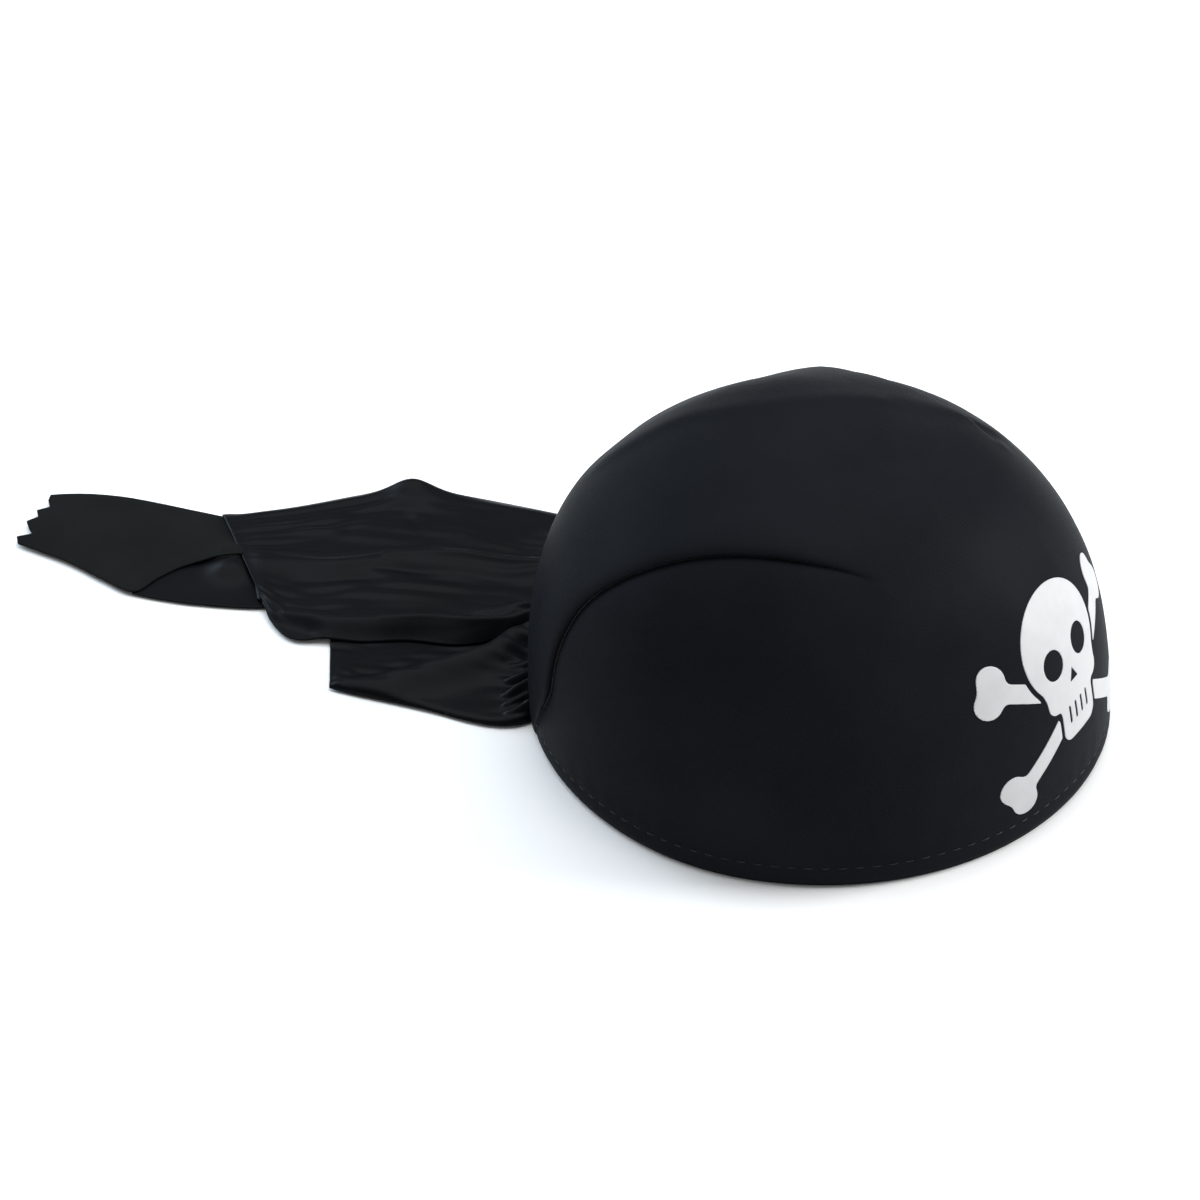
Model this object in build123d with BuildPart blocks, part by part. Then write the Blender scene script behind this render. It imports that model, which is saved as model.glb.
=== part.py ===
"""Moulded bandana pirate hat: a stiffened dome cap with a printed front and a gathered cloth tail.

+X is the front of the cap, +Y the wearer's left, +Z up. The origin is the centre of the head
opening, in the plane of the rim. All lengths are in millimetres.
"""
from build123d import *
import os
from math import asin, atan2, cos, degrees, hypot, pi, radians, sin, sqrt

os.makedirs("parts", exist_ok=True)

# Cap: outer size of the wall, and the shape of its profile
RIM_HALF_LENGTH = 108.0
RIM_HALF_WIDTH = 101.2
CROWN_HEIGHT = 127.7
BROW_HEIGHT = 4.7
RIM_TUCK = 2.2
WALL_POWER = 2 / 2.23
TOP_POWER = 2 / 2.68
PROFILE_STEPS = 6
LAST_TURN = 84.0
BELOW = 2.0

# Layers of the wall, as depths below the outer surface
COVER_DEPTHS = (0.0, 0.6)
FOAM_DEPTHS = (0.7, 4.6)
LINING_DEPTHS = (4.7, 5.1)
HEM_DEPTHS = (5.2, 5.7)
ELASTIC_DEPTHS = (5.15, 5.7)
BAND_DEPTHS = (5.8, 6.8)
HEM_WEB = 0.7
LAYER_BOTTOM = 0.8
HEM_HEIGHT = 10.0
BAND_HEIGHT = 28.0
ELASTIC_BOTTOM = 12.0
ELASTIC_TOP = 22.0
ELASTIC_HALF_ARC = 62.0

# Stitches
STITCH_COUNT = 110
STITCH_LENGTH = 3.6
STITCH_WIDTH = 0.6
HEM_STITCH_HEIGHT = 9.0
HEM_STITCH_DEPTHS = (-0.3, -0.05)
BAND_STITCH_HEIGHT = 25.0
BAND_STITCH_DEPTHS = (7.0, 7.25)

# Print on the front, drawn as seen from the front
FILM_DEPTHS = (-0.3, -0.05)
PRINT_PLANE_X = 55.0
PRINT_REACH = 70.0
CRANIUM_HALF_WIDTH = 23.0
CRANIUM_HALF_HEIGHT = 20.0
CRANIUM_CENTRE = 66.0
CHEEK_TOP = 56.0
CHEEK_BOTTOM = 44.0
CHEEK_WIDTH = 40.0
CHIN = 29.0
CHIN_WIDTH = 24.0
EYE_SPREAD = 10.0
EYE_LEVEL = 63.0
EYE_HALF_WIDTH = 4.6
EYE_HALF_HEIGHT = 5.0
NOSE_LEVEL = 54.5
NOSE_RADIUS = 3.6
MOUTH_LEVEL = 41.5
MOUTH_WIDTH = 16.0
MOUTH_HEIGHT = 1.4
BONE_CROSSING = 46.0
BONE_WIDTH = 7.0
KNOB_RADIUS = 5.4
KNOB_SPREAD = 0.8
PRINT_GAP = 1.8
BONE_TIPS = {
    "upper_right": (-39.0, 66.0),
    "upper_left": (39.0, 66.0),
    "lower_right": (-36.0, 21.5),
    "lower_left": (36.0, 21.5),
}

# Care label inside the back
LABEL_X = -99.0
LABEL_TOP = 27.0
LABEL_DROP = 22.0
LABEL_WIDTH = 22.0
LABEL_THICKNESS = 0.4
LABEL_FOLD_RADIUS = 0.4

# Tail: layers lie on the table behind the cap
HINGE_X = -116.0
TIE_THICKNESS = 3.0
LAYER_GAP = 0.4
FLAP_EDGE_THICKNESS = 3.0
FLAP_CROWN_HEIGHT = 15.0
FLAP_CROWN_X = -195.0
FLAP_TIP_X = -262.0
FLAP_HALF_REACH = 70.0
KNUCKLE_GAP = 0.4
TIE_SETBACK = 8.0
GATHER_HEIGHT = 9.0
GATHER_DEPTH = -0.6
GATHER_FRONT_X = -60.0
GATHER_NEAR_Y = -60.0
GATHER_FAR_Y = 60.0
GATHER_TAPER = 9.0
SHIRR_RADIUS = 0.8
SHIRR_X = -111.4
SHIRR_HALF_LENGTH = 56.0
GROOVE_CLEARANCE = 0.1
GROOVE_OVERRUN = 1.0
SEAM_STITCH_COUNT = 15
SEAM_STITCH_HEIGHT = 0.3
SEAM_HALF_LENGTH = 48.0
SEAM_STANDOFF = 2.0

# The diagonal where the long tie comes out from under the flap
DIAGONAL_FAR = (-263.0, 9.0)
DIAGONAL_NEAR = (-219.0, -34.0)
DIAGONAL_STANDOFF = 6.0
DIAGONAL_HALF = 30.0

TIE_MIDDLE = TIE_THICKNESS / 2
FLAP_BOTTOM = TIE_THICKNESS + LAYER_GAP
FLAP_EDGE_TOP = FLAP_BOTTOM + FLAP_EDGE_THICKNESS
FLAP_KNUCKLE = FLAP_EDGE_THICKNESS / 2
TIE_HINGE_X = HINGE_X - TIE_SETBACK


def wall_point(turn, depth):
    """Share of the rim's radius, and height, at a turn of 0 at the brow to 90 degrees at the crown."""
    rise = CROWN_HEIGHT - depth - BROW_HEIGHT
    return (cos(radians(turn)) ** WALL_POWER, BROW_HEIGHT + rise * sin(radians(turn)) ** TOP_POWER)


def dome(depth, foot=0.0):
    """Solid dome that the wall makes at a depth below its outer surface, standing on z = foot."""
    half_length = RIM_HALF_LENGTH - depth
    half_width = RIM_HALF_WIDTH - depth
    tuck = RIM_TUCK * (BROW_HEIGHT - foot) / BROW_HEIGHT
    with BuildPart() as body:
        with BuildSketch(Plane.XY.offset(foot)):
            Ellipse(half_length - tuck, half_width - tuck)
        with BuildSketch(Plane.XY.offset(BROW_HEIGHT)):
            Ellipse(half_length, half_width)
        loft(ruled=True)
        for step in range(PROFILE_STEPS + 1):
            share, height = wall_point(step * LAST_TURN / PROFILE_STEPS, depth)
            with BuildSketch(Plane.XY.offset(height)):
                Ellipse(share * half_length, share * half_width)
        loft()
    return body.part


def save(piece, name):
    """Label a finished piece and write it."""
    piece.part.label = name
    export_step(piece.part, f"parts/{name}.step")


def wall_layer(depths, bottom, top=None):
    """Layer of the wall between two depths, trimmed at a bottom and a top height."""
    with BuildPart() as layer:
        add(dome(depths[0]))
        add(dome(depths[1], -BELOW), mode=Mode.SUBTRACT)
        if bottom > 0:
            split(bisect_by=Plane.XY.offset(bottom), keep=Keep.TOP)
        if top is not None:
            split(bisect_by=Plane.XY.offset(top), keep=Keep.BOTTOM)
    return layer


def stitch_row(depths, height):
    """Row of separate stitches right round the cap at one height."""
    turn = degrees(asin(((height - BROW_HEIGHT) / (CROWN_HEIGHT - BROW_HEIGHT)) ** (1 / TOP_POWER)))
    share = wall_point(turn, 0)[0]
    depth = (depths[0] + depths[1]) / 2
    places = []
    for number in range(STITCH_COUNT):
        around = 2 * pi * number / STITCH_COUNT
        x = (share * RIM_HALF_LENGTH - depth) * cos(around)
        y = (share * RIM_HALF_WIDTH - depth) * sin(around)
        heading = degrees(atan2(RIM_HALF_WIDTH * cos(around), -RIM_HALF_LENGTH * sin(around)))
        places.append(Location((x, y, height), (0, 0, heading)))
    with BuildPart() as row:
        with Locations(*places):
            Box(STITCH_LENGTH, depths[1] - depths[0], STITCH_WIDTH)
    return row


def knuckle(start, end, height, radius):
    """Round edge along a hinge line between two points in plan."""
    with BuildPart() as edge:
        with BuildLine():
            axis_line = Line((*start, height), (*end, height))
        with BuildSketch(Plane(origin=axis_line @ 0, z_dir=axis_line % 0)):
            Circle(radius)
        extrude(amount=axis_line.length)
    return edge


# ---------------------------------------------------------------- wall of the cap

outer_cover = wall_layer(COVER_DEPTHS, LAYER_BOTTOM)
save(outer_cover, "outer_cover")

foam_shell = wall_layer(FOAM_DEPTHS, LAYER_BOTTOM)
save(foam_shell, "foam_shell")

inner_lining = wall_layer(LINING_DEPTHS, LAYER_BOTTOM)
save(inner_lining, "inner_lining")

# The hem is the cover's edge turned in under the rim and up the inside of the lining.
hem_leg = wall_layer(HEM_DEPTHS, 0, HEM_HEIGHT)
hem_web = wall_layer((COVER_DEPTHS[0], HEM_DEPTHS[1]), 0, HEM_WEB)
with BuildPart() as rim_hem:
    add(hem_web.part)
    add(hem_leg.part)
save(rim_hem, "rim_hem")

sweatband = wall_layer(BAND_DEPTHS, LAYER_BOTTOM, BAND_HEIGHT)
save(sweatband, "sweatband")

hem_topstitching = stitch_row(HEM_STITCH_DEPTHS, HEM_STITCH_HEIGHT)
save(hem_topstitching, "hem_topstitching")

sweatband_stitching = stitch_row(BAND_STITCH_DEPTHS, BAND_STITCH_HEIGHT)
save(sweatband_stitching, "sweatband_stitching")

# The elastic is the back stretch of a ring between lining and sweatband.
elastic_ring = wall_layer(ELASTIC_DEPTHS, ELASTIC_BOTTOM, ELASTIC_TOP)
with BuildPart() as nape_elastic:
    with BuildSketch(Plane.XY.offset(ELASTIC_BOTTOM)):
        with Locations((-RIM_HALF_LENGTH, 0)):
            Rectangle(RIM_HALF_LENGTH, 2 * ELASTIC_HALF_ARC)
    extrude(amount=ELASTIC_TOP - ELASTIC_BOTTOM)
    add(elastic_ring.part, mode=Mode.INTERSECT)
save(nape_elastic, "nape_elastic")

# The label hangs from the round fold by which it is sewn in.
label_fold = knuckle((LABEL_X, -LABEL_WIDTH / 2), (LABEL_X, LABEL_WIDTH / 2), LABEL_TOP, LABEL_FOLD_RADIUS)
with BuildPart() as care_label:
    with Locations((LABEL_X, 0, LABEL_TOP - LABEL_DROP / 2)):
        Box(LABEL_THICKNESS, LABEL_WIDTH, LABEL_DROP)
    add(label_fold.part)
save(care_label, "care_label")

# ---------------------------------------------------------------- print on the front

PRINT_PLANE = Plane.YZ.offset(PRINT_PLANE_X)
film_face = dome(FILM_DEPTHS[0])
film_back = dome(FILM_DEPTHS[1], -BELOW)


def film(outline):
    """Film that lies on the front of the cap with the given flat outline."""
    with BuildPart() as piece:
        extrude(outline.sketch, amount=PRINT_REACH, dir=(1, 0, 0))
        add(film_face, mode=Mode.INTERSECT)
        add(film_back, mode=Mode.SUBTRACT)
    return piece


def skull_blank(margin, mode=Mode.ADD):
    """Cranium and jaw without their openings, grown by a margin."""
    with Locations((0, CRANIUM_CENTRE)):
        Ellipse(CRANIUM_HALF_WIDTH + margin, CRANIUM_HALF_HEIGHT + margin, mode=mode)
    with Locations((0, (CHEEK_TOP + CHEEK_BOTTOM) / 2)):
        Rectangle(CHEEK_WIDTH + 2 * margin, CHEEK_TOP - CHEEK_BOTTOM + 2 * margin, mode=mode)
    with Locations((0, (CHEEK_BOTTOM + CHIN) / 2)):
        Rectangle(CHIN_WIDTH + 2 * margin, CHEEK_BOTTOM - CHIN + 2 * margin, mode=mode)


with BuildSketch(PRINT_PLANE) as skull_outline:
    skull_blank(0)
    with Locations((-EYE_SPREAD, EYE_LEVEL), (EYE_SPREAD, EYE_LEVEL)):
        Ellipse(EYE_HALF_WIDTH, EYE_HALF_HEIGHT, mode=Mode.SUBTRACT)
    with Locations((0, NOSE_LEVEL)):
        RegularPolygon(NOSE_RADIUS, 3, rotation=90, mode=Mode.SUBTRACT)
    with Locations((0, MOUTH_LEVEL)):
        SlotOverall(MOUTH_WIDTH, MOUTH_HEIGHT, mode=Mode.SUBTRACT)
save(film(skull_outline), "skull_print")


def bone_outline(tip):
    """Half of a crossed bone, from its two-lobed tip to just short of the skull."""
    rise = tip[1] - BONE_CROSSING
    length = hypot(tip[0], rise)
    side_y = -KNOB_RADIUS * KNOB_SPREAD * rise / length
    side_z = KNOB_RADIUS * KNOB_SPREAD * tip[0] / length
    with BuildSketch(PRINT_PLANE) as bone:
        with Locations((tip[0] / 2, (tip[1] + BONE_CROSSING) / 2)):
            Rectangle(length, BONE_WIDTH, rotation=degrees(atan2(rise, tip[0])))
        with Locations((tip[0] + side_y, tip[1] + side_z), (tip[0] - side_y, tip[1] - side_z)):
            Circle(KNOB_RADIUS)
        skull_blank(PRINT_GAP, mode=Mode.SUBTRACT)
    return bone


for corner, tip in BONE_TIPS.items():
    save(film(bone_outline(tip)), f"bone_print_{corner}")

# ---------------------------------------------------------------- tail


def plan_layer(points, bottom, thickness):
    """Flat layer of cloth with the given outline in plan."""
    with BuildPart() as layer:
        with BuildSketch(Plane.XY.offset(bottom)):
            with BuildLine():
                Polyline(*points, close=True)
            make_face()
        extrude(amount=thickness)
    return layer


# The gather is the heading of the tail, bunched against the back of the cap and sewn to it.
cap_clearance = dome(GATHER_DEPTH)
gather_back_x = HINGE_X + FLAP_KNUCKLE + KNUCKLE_GAP
heading = [
    (GATHER_FRONT_X, GATHER_NEAR_Y + GATHER_TAPER),
    (gather_back_x, GATHER_NEAR_Y),
    (gather_back_x, GATHER_FAR_Y),
    (GATHER_FRONT_X, GATHER_FAR_Y),
]
gather_blank = plan_layer(heading, 0, GATHER_HEIGHT)


def shirr_rod(half_length, radius):
    """Rod along the shirring line on top of the heading."""
    height = GATHER_HEIGHT - SHIRR_RADIUS
    return knuckle((SHIRR_X, -half_length), (SHIRR_X, half_length), height, radius)


groove = shirr_rod(SHIRR_HALF_LENGTH + GROOVE_OVERRUN, SHIRR_RADIUS + GROOVE_CLEARANCE)
with BuildPart() as tail_gather:
    add(gather_blank.part)
    add(cap_clearance, mode=Mode.SUBTRACT)
    add(groove.part, mode=Mode.SUBTRACT)
save(tail_gather, "tail_gather")

shirring_elastic = shirr_rod(SHIRR_HALF_LENGTH, SHIRR_RADIUS)
save(shirring_elastic, "shirring_elastic")

seam_places = []
for number in range(SEAM_STITCH_COUNT):
    across = SEAM_HALF_LENGTH * (2 * number / (SEAM_STITCH_COUNT - 1) - 1)
    back = -RIM_HALF_LENGTH * sqrt(1 - (across / RIM_HALF_WIDTH) ** 2)
    seam_places.append((back - SEAM_STANDOFF, across, GATHER_HEIGHT + SEAM_STITCH_HEIGHT))
with BuildPart() as tail_seam_stitching:
    with Locations(*seam_places):
        Box(STITCH_WIDTH, STITCH_LENGTH, SEAM_STITCH_HEIGHT)
save(tail_seam_stitching, "tail_seam_stitching")

# The flap is the wide upper layer: thin along its edges and full in the middle.
flap_plan = [
    (HINGE_X, 58),
    (-205, 57),
    (FLAP_TIP_X, 7),
    (-218, -37),
    (-204, -50),
    (-194, -50),
    (-186, -45),
    (HINGE_X, -32),
]
flap_blank = plan_layer(flap_plan, FLAP_BOTTOM, FLAP_CROWN_HEIGHT)
flap_knuckle = knuckle((HINGE_X, -32), (HINGE_X, 58), FLAP_BOTTOM + FLAP_KNUCKLE, FLAP_KNUCKLE)
with BuildPart() as tail_flap:
    with BuildSketch(Plane.XZ):
        with BuildLine():
            Polyline(
                (HINGE_X, FLAP_BOTTOM),
                (HINGE_X, FLAP_EDGE_TOP),
                (FLAP_CROWN_X, FLAP_CROWN_HEIGHT),
                (FLAP_TIP_X, FLAP_EDGE_TOP),
                (FLAP_TIP_X, FLAP_BOTTOM),
                close=True,
            )
        make_face()
    extrude(amount=FLAP_HALF_REACH, both=True)
    add(flap_blank.part, mode=Mode.INTERSECT)
    add(flap_knuckle.part)
save(tail_flap, "tail_flap")

short_tie_plan = [(TIE_HINGE_X, -62), (-166, -70), (-171, -66), (-187, -43), (-190, -29), (TIE_HINGE_X, -9)]
short_tie_blank = plan_layer(short_tie_plan, 0, TIE_THICKNESS)
short_tie_knuckle = knuckle((TIE_HINGE_X, -62), (TIE_HINGE_X, -9), TIE_MIDDLE, TIE_MIDDLE)
with BuildPart() as short_tie:
    add(short_tie_blank.part)
    add(short_tie_knuckle.part)
save(short_tie, "short_tie")

diagonal_length = hypot(DIAGONAL_NEAR[0] - DIAGONAL_FAR[0], DIAGONAL_NEAR[1] - DIAGONAL_FAR[1])
ALONG = (
    (DIAGONAL_NEAR[0] - DIAGONAL_FAR[0]) / diagonal_length,
    (DIAGONAL_NEAR[1] - DIAGONAL_FAR[1]) / diagonal_length,
)
OUTWARD = (ALONG[1], -ALONG[0])


def diagonal_point(along, outward):
    """Point in plan, measured from the middle of the long tie's second hinge line."""
    middle_x = (DIAGONAL_FAR[0] + DIAGONAL_NEAR[0]) / 2
    middle_y = (DIAGONAL_FAR[1] + DIAGONAL_NEAR[1]) / 2
    away = DIAGONAL_STANDOFF + outward
    return (middle_x + along * ALONG[0] + away * OUTWARD[0], middle_y + along * ALONG[1] + away * OUTWARD[1])


tie_stop = -(TIE_MIDDLE + KNUCKLE_GAP)
long_tie_plan = [
    (TIE_HINGE_X, -7),
    diagonal_point(DIAGONAL_HALF, tie_stop),
    diagonal_point(-DIAGONAL_HALF, tie_stop),
    (TIE_HINGE_X, 48),
]
long_tie_blank = plan_layer(long_tie_plan, 0, TIE_THICKNESS)
long_tie_knuckle = knuckle((TIE_HINGE_X, -7), (TIE_HINGE_X, 48), TIE_MIDDLE, TIE_MIDDLE)
with BuildPart() as long_tie:
    add(long_tie_blank.part)
    add(long_tie_knuckle.part)
save(long_tie, "long_tie")

end_plan = [
    diagonal_point(-DIAGONAL_HALF, 0),
    (-299, 5),
    (-333, -7),
    (-329, -12),
    (-336, -22),
    (-331, -27),
    (-334, -34),
    (-326, -41),
    (-299, -46),
    (-269, -47),
    diagonal_point(DIAGONAL_HALF, 0),
]
end_blank = plan_layer(end_plan, 0, TIE_THICKNESS)
end_far = diagonal_point(-DIAGONAL_HALF, 0)
end_near = diagonal_point(DIAGONAL_HALF, 0)
end_knuckle = knuckle(end_far, end_near, TIE_MIDDLE, TIE_MIDDLE)
with BuildPart() as long_tie_end:
    add(end_blank.part)
    add(end_knuckle.part)
save(long_tie_end, "long_tie_end")

cap_length = 2 * RIM_HALF_LENGTH
rim_round = pi * (RIM_HALF_LENGTH + RIM_HALF_WIDTH - 2 * BAND_DEPTHS[1])
print(f"cap {cap_length:.0f} x {2 * RIM_HALF_WIDTH:.0f} x {CROWN_HEIGHT:.0f} mm, about {rim_round:.0f} mm round inside")
print("long tie's second hinge", diagonal_point(0, 0), "along", ALONG)
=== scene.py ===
"""Looks of the moulded bandana pirate hat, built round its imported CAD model.

Shapes are worked out in millimetres in the CAD frame: +X is the front of the cap, +Y the wearer's
left, +Z up, and the rim stands on z = 0. The meshes are in metres.
"""
import math

import bpy
import numpy as np
from mathutils import Matrix, Vector


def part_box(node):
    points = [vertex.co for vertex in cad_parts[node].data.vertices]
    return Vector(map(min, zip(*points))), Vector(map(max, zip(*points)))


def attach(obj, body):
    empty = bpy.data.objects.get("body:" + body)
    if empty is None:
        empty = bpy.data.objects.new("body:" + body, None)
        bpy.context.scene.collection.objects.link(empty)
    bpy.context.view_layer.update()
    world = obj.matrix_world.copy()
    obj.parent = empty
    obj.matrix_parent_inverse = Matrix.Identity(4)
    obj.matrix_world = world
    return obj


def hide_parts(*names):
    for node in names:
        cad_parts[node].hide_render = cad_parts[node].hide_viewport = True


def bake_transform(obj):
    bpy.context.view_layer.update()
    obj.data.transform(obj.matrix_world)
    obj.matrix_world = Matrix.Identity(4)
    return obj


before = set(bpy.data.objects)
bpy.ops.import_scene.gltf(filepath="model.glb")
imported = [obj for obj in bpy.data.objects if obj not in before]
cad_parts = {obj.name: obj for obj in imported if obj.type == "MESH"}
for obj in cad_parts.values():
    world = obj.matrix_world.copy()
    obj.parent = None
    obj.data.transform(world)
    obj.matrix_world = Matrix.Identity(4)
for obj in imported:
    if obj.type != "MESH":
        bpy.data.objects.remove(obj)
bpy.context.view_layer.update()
MM = 0.001


def box_mm(node):
    """Lowest and highest corner of a CAD node, in millimetres."""
    low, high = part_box(node)
    return np.array(low) / MM, np.array(high) / MM


# ---------------------------------------------------------------- camera, light and floor

AZIMUTH = math.radians(31.05)
ELEVATION = math.radians(36.86)
ROLL = math.radians(3.33)
DISTANCE = 2.3276
LENS = 187.4
AIM = Vector((-0.0903, 0.0, 0.0222))
WORLD_STRENGTH = 0.36
FLOOR_HALF = 3.0


def make_camera():
    """Long lens, from in front of the wearer's right side and above, turned a little about its axis."""
    away = Vector((
        math.sin(AZIMUTH) * math.cos(ELEVATION),
        -math.cos(AZIMUTH) * math.cos(ELEVATION),
        math.sin(ELEVATION),
    ))
    level = Vector((math.cos(AZIMUTH), math.sin(AZIMUTH), 0.0))
    upright = away.cross(level)
    across = level * math.cos(ROLL) - upright * math.sin(ROLL)
    upwards = upright * math.cos(ROLL) + level * math.sin(ROLL)
    data = bpy.data.cameras.new("camera")
    data.lens = LENS
    camera = bpy.data.objects.new("camera", data)
    turn = Matrix((across, upwards, away)).transposed()
    camera.matrix_world = Matrix.Translation(AIM + DISTANCE * away) @ turn.to_4x4()
    bpy.context.scene.collection.objects.link(camera)
    bpy.context.scene.camera = camera


def area_light(name, place, size, power, colour=(1.0, 1.0, 1.0)):
    """Square soft light that shines at the middle of the object."""
    data = bpy.data.lights.new(name, "AREA")
    data.size = size
    data.energy = power
    data.color = colour
    light = bpy.data.objects.new(name, data)
    light.location = place
    light.rotation_euler = (Vector(place) - AIM).to_track_quat("Z", "Y").to_euler()
    bpy.context.scene.collection.objects.link(light)


def make_studio():
    """Pale floor and plain soft light."""
    world = bpy.data.worlds.new("studio")
    world.use_nodes = True
    world.node_tree.nodes["Background"].inputs["Color"].default_value = (1.0, 1.0, 1.0, 1.0)
    world.node_tree.nodes["Background"].inputs["Strength"].default_value = WORLD_STRENGTH
    bpy.context.scene.world = world
    bpy.context.scene.view_settings.view_transform = "Standard"
    area_light("sky_light", (-0.30, 0.30, 1.62), 1.8, 28.0, (0.93, 0.97, 1.0))
    area_light("front_light", (1.25, 0.80, 0.80), 0.8, 32.0)
    area_light("nape_light", (-1.45, 0.20, 0.60), 0.8, 12.0, (0.66, 0.83, 1.0))
    corners = np.array([(-1, -1, 0), (1, -1, 0), (1, 1, 0), (-1, 1, 0)]) * FLOOR_HALF / MM
    floor = new_object("floor", corners, [(0, 1, 2, 3)], [floor_material()])


# ---------------------------------------------------------------- mesh tools


def new_object(name, points, faces, materials):
    """Mesh object from points in millimetres, smooth shaded."""
    mesh = bpy.data.meshes.new(name)
    mesh.from_pydata((np.asarray(points, float) * MM).tolist(), [], [tuple(f) for f in faces])
    for material in materials:
        mesh.materials.append(material)
    mesh.polygons.foreach_set("use_smooth", np.ones(len(mesh.polygons), bool))
    mesh.validate()
    mesh.update()
    made = bpy.data.objects.new(name, mesh)
    bpy.context.scene.collection.objects.link(made)
    return made


def grid_faces(rows, columns, start, wrap, flip=False):
    """Quads of a grid of points that begins at a vertex number; wrap joins the last row to the first."""
    row = np.arange(rows if wrap else rows - 1)
    column = np.arange(columns - 1)
    near = row[:, None] * columns + column[None, :]
    far = ((row[:, None] + 1) % rows) * columns + column[None, :]
    quads = np.stack([near, far, far + 1, near + 1], -1).reshape(-1, 4) + start
    return quads[:, ::-1] if flip else quads


def rim_faces(loop, other, flip=False):
    """Quads between two lines of vertex numbers."""
    quads = np.stack([loop[:-1], loop[1:], other[1:], other[:-1]], -1)
    return quads[:, ::-1] if flip else quads


def tube_faces(rings, sides, start=0):
    """Quads and end faces of a tube; its rings of vertices turn about the way they follow one another."""
    number = start + np.arange(rings * sides).reshape(rings, sides)
    closed = np.hstack([number, number[:, :1]])
    quads = np.concatenate([rim_faces(near, far) for near, far in zip(closed[:-1], closed[1:])])
    return [tuple(quad) for quad in quads] + [tuple(number[0, ::-1]), tuple(number[-1])]


def closed_shell(name, outer, inner, materials, wrap=False, shape=None):
    """Closed mesh between two grids of points. Rows x columns gives the outer normal."""
    rows, columns = outer.shape[:2]
    count = rows * columns
    number = np.arange(count).reshape(rows, columns)
    faces = [grid_faces(rows, columns, 0, wrap), grid_faces(rows, columns, count, wrap, flip=True)]
    if wrap:
        number = np.vstack([number, number[:1]])
    faces.append(rim_faces(number[:, 0], number[:, 0] + count, flip=True))
    faces.append(rim_faces(number[:, -1], number[:, -1] + count))
    if not wrap:
        faces.append(rim_faces(number[0], number[0] + count))
        faces.append(rim_faces(number[-1], number[-1] + count, flip=True))
    points = np.concatenate([outer.reshape(-1, 3), inner.reshape(-1, 3)])
    if shape:
        points = shape(points)
    return new_object(name, points, np.concatenate(faces), materials)


def grid_normals(grid, wrap=False):
    """Unit normals of a grid of points, from its rows and columns."""
    if wrap:
        padded = np.concatenate([grid[-1:], grid, grid[:1]])
        along_rows = np.gradient(padded, axis=0)[1:-1]
    else:
        along_rows = np.gradient(grid, axis=0)
    normals = np.cross(along_rows, np.gradient(grid, axis=1))
    return normals / np.maximum(np.linalg.norm(normals, axis=-1, keepdims=True), 1e-9)


def cloth_sheet(name, grid, thickness, materials, wrap=False):
    """Closed thin sheet whose upper face is the grid."""
    return closed_shell(name, grid, grid - thickness * grid_normals(grid, wrap), materials, wrap)


def smooth_step(value, low, high):
    """0 below low, 1 above high, smooth between; low may be the larger."""
    share = np.clip((np.asarray(value, float) - low) / (high - low), 0, 1)
    return share * share * (3 - 2 * share)


def bump(distance, width):
    """Bell of height 1."""
    return np.exp(-((distance / width) ** 2))


def smooth_path(points, count):
    """Catmull-Rom curve through points, evenly sampled in its own parameter."""
    points = np.asarray(points, float)
    padded = np.vstack([2 * points[0] - points[1], points, 2 * points[-1] - points[-2]])
    place = np.linspace(0, len(points) - 1, count)
    span = np.minimum(place.astype(int), len(points) - 2)
    t = (place - span)[:, None]
    a, b, c, d = (padded[span + k] for k in range(4))
    return 0.5 * (2 * b + (c - a) * t + (2 * a - 5 * b + 4 * c - d) * t**2 + (3 * b - a - 3 * c + d) * t**3)


# ---------------------------------------------------------------- materials


def new_material(name, colour, roughness):
    """Material with a Principled shader; returns it with its nodes, links and shader."""
    material = bpy.data.materials.new(name)
    material.use_nodes = True
    tree = material.node_tree
    shader = tree.nodes["Principled BSDF"]
    shader.inputs["Base Color"].default_value = (*colour, 1.0)
    shader.inputs["Roughness"].default_value = roughness
    return material, tree, shader


def add_node(tree, kind, links=(), **settings):
    """Node with its inputs linked or set: links pairs an input's name or number with an output or a value."""
    node = tree.nodes.new(kind)
    for key, value in settings.items():
        setattr(node, key, value)
    for socket, source in links:
        if isinstance(source, bpy.types.NodeSocket):
            tree.links.new(source, node.inputs[socket])
        else:
            node.inputs[socket].default_value = source
    return node


def math_node(tree, operation, first, second=0.0):
    """Output of a Math node."""
    return add_node(tree, "ShaderNodeMath", ((0, first), (1, second)), operation=operation).outputs[0]


def scaled_sum(tree, value, scale, other):
    """Output of value x scale + other."""
    return math_node(tree, "ADD", math_node(tree, "MULTIPLY", value, scale), other)


def object_place(tree):
    """Output of the object's own coordinates, in metres."""
    place = tree.nodes.get("Texture Coordinate") or add_node(tree, "ShaderNodeTexCoord")
    return place.outputs["Object"]


def split_axes(tree, place):
    """Outputs of a place along x, y and z."""
    return add_node(tree, "ShaderNodeSeparateXYZ", ((0, place),)).outputs


def object_noise(tree, scale, detail):
    """Output of a noise in the object's own coordinates, in patches of 1 / scale metres."""
    links = (("Vector", object_place(tree)), ("Scale", scale), ("Detail", detail))
    return add_node(tree, "ShaderNodeTexNoise", links).outputs["Fac"]


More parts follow.
